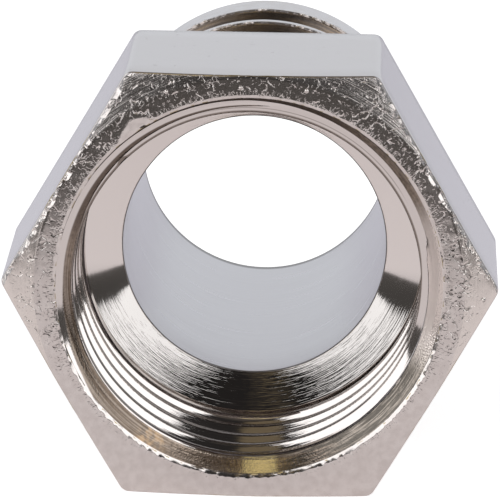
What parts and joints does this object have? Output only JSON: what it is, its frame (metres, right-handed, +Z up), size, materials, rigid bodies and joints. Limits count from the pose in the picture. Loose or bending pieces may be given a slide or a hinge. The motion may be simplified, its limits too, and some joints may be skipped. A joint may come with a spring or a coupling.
{
  "type": "pipe adapter",
  "caption": "Nickel-plated hexagonal pipe adapter: a countersunk threaded socket at one end, a hollow ringed tail for a push-on pipe at the other, and a straight waterway.",
  "frame": {"origin": "on the table under the middle of the adapter's length and width", "axes": "+Y along the fitting's axis, from the mouth of the socket to the end of the tail; +Z up, square to the flat of the hexagon that it lies on"},
  "size_m": [0.0276, 0.035, 0.024],
  "materials": {
    "nickel_plating": "nickel plated and bright, with a bumpy front face"
  },
  "bodies": {
    "root": {"adapter_body": "nickel_plating"}
  },
  "joints": []
}
